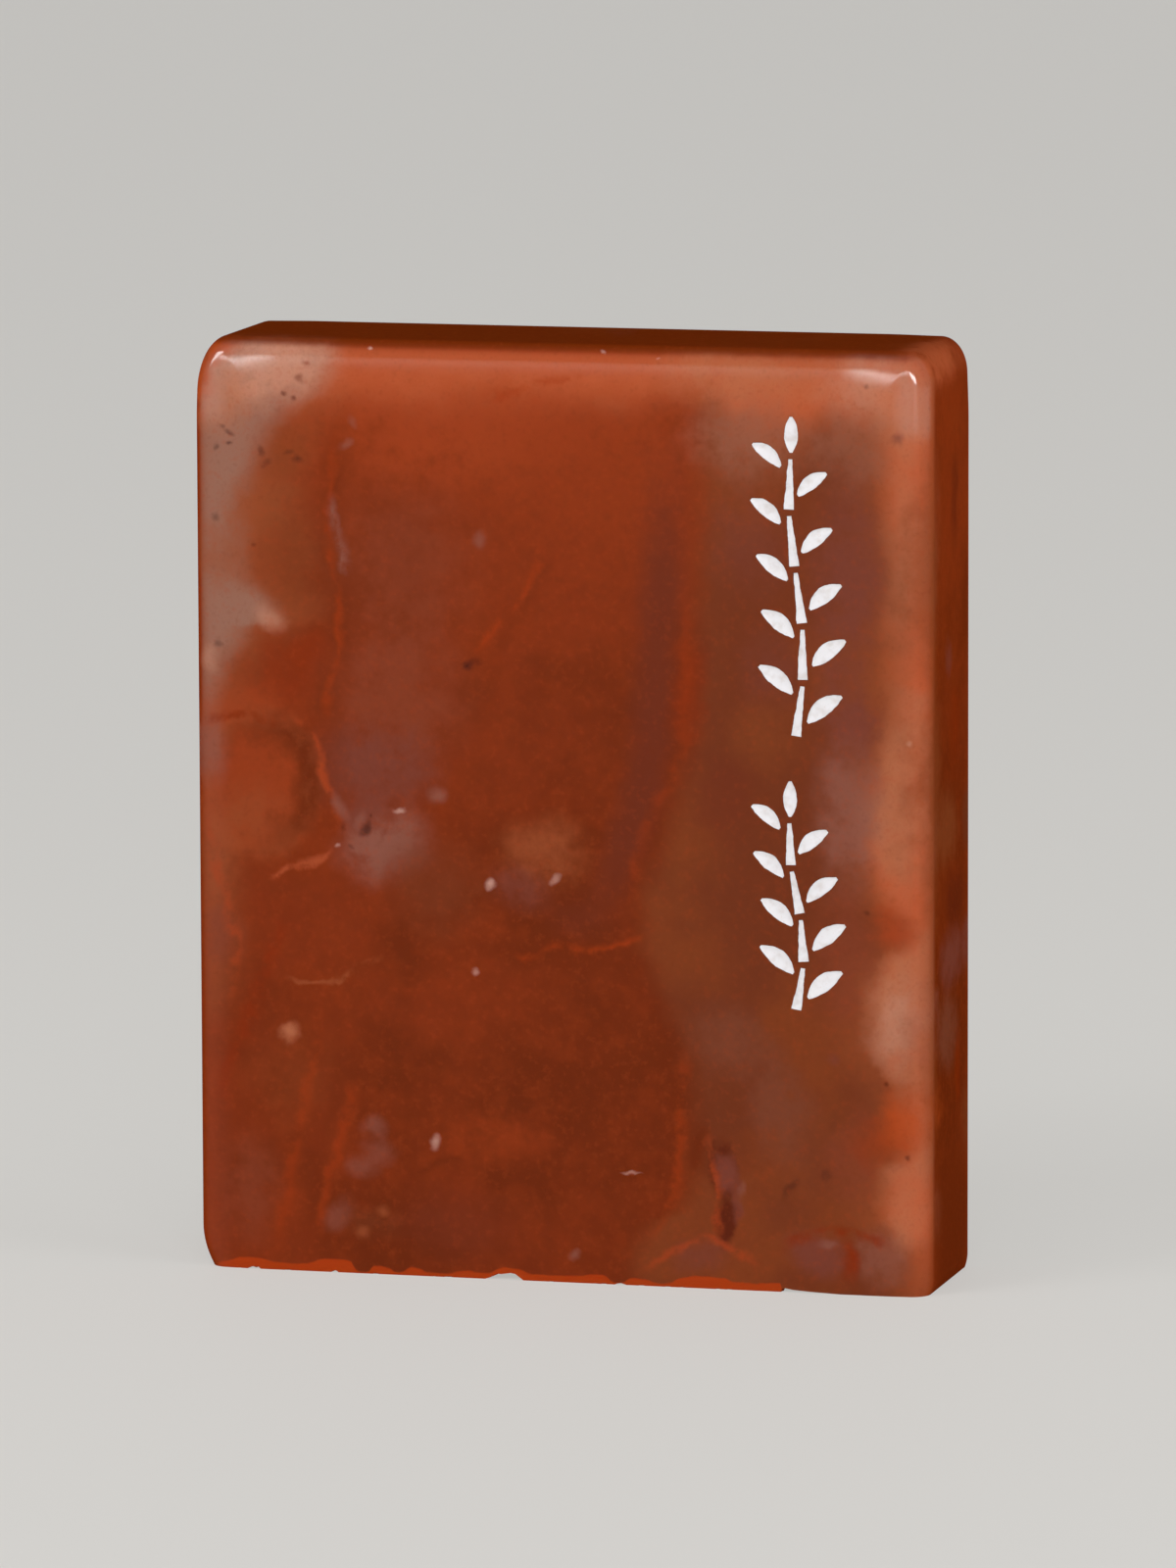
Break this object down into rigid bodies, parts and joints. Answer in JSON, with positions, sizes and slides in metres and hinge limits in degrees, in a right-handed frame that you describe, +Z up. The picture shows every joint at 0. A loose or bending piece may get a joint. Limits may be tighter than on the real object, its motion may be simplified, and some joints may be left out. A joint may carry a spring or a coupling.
{
  "type": "seal stamp",
  "caption": "Flat rectangular stone seal stamp with rounded top corners, an engraved and white-filled leafy column on its front and a carved relief face underneath.",
  "frame": {"origin": "middle of the carved seal face, on the surface that the seal stands on", "axes": "+Z up from the seal face to the top, +X to the right along the wide front, -Y out of the engraved front"},
  "size_m": [0.04, 0.0104, 0.0499],
  "materials": {
    "stone": "polished, translucent, mottled red-orange to brown",
    "pigment": "dry white paint"
  },
  "bodies": {
    "root": {"stone_block": "stone", "lower_sprig_leaf_1": "pigment", "lower_sprig_leaf_2": "pigment", "lower_sprig_leaf_3": "pigment", "lower_sprig_leaf_4": "pigment", "lower_sprig_leaf_5": "pigment", "lower_sprig_leaf_6": "pigment", "lower_sprig_leaf_7": "pigment", "lower_sprig_leaf_8": "pigment", "lower_sprig_stem_1": "pigment", "lower_sprig_stem_2": "pigment", "lower_sprig_stem_3": "pigment", "lower_sprig_stem_4": "pigment", "lower_sprig_tip_leaf": "pigment", "upper_sprig_leaf_1": "pigment", "upper_sprig_leaf_10": "pigment", "upper_sprig_leaf_2": "pigment", "upper_sprig_leaf_3": "pigment", "upper_sprig_leaf_4": "pigment", "upper_sprig_leaf_5": "pigment", "upper_sprig_leaf_6": "pigment", "upper_sprig_leaf_7": "pigment", "upper_sprig_leaf_8": "pigment", "upper_sprig_leaf_9": "pigment", "upper_sprig_stem_1": "pigment", "upper_sprig_stem_2": "pigment", "upper_sprig_stem_3": "pigment", "upper_sprig_stem_4": "pigment", "upper_sprig_stem_5": "pigment", "upper_sprig_tip_leaf": "pigment"}
  },
  "joints": []
}
